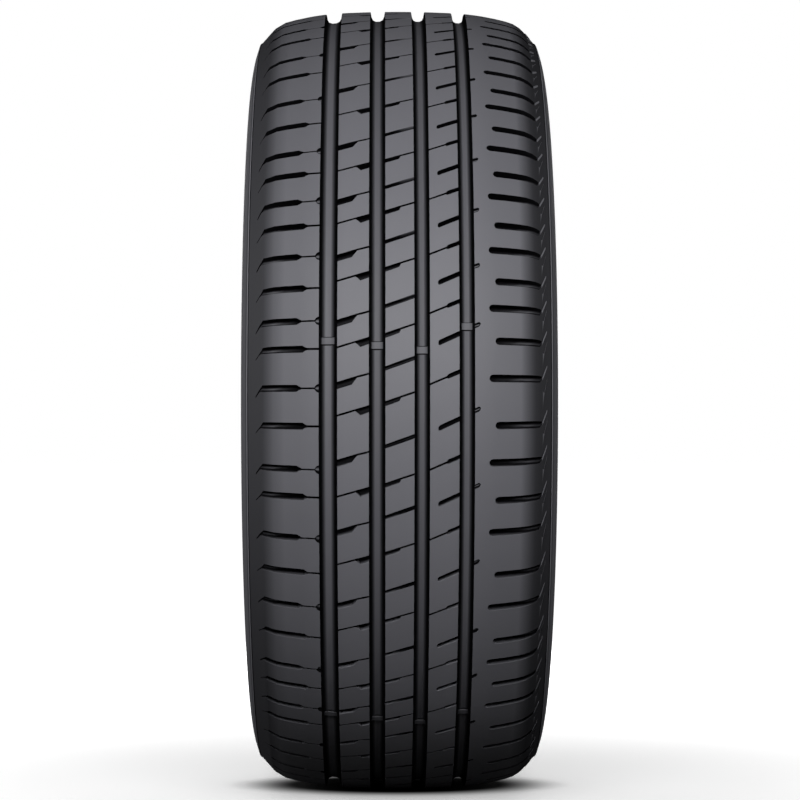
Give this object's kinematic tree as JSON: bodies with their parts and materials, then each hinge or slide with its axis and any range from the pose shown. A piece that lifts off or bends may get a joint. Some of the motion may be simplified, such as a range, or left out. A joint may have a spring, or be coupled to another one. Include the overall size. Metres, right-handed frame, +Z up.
{
  "type": "car tyre",
  "caption": "Unmounted low-profile car tyre with round tread grooves, slotted shoulders and an open bead bore for a rim.",
  "frame": {"origin": "wheel centre, on the spin axis midway between the two beads", "axes": "+Y along the spin axis (to the right in the picture), +Z up as the tyre stands, +X out of the tread towards the camera"},
  "size_m": [0.6431, 0.2358, 0.6428],
  "materials": {
    "tyre_rubber": "matte moulded rubber"
  },
  "bodies": {
    "root": {"tyre": "tyre_rubber"}
  },
  "joints": []
}
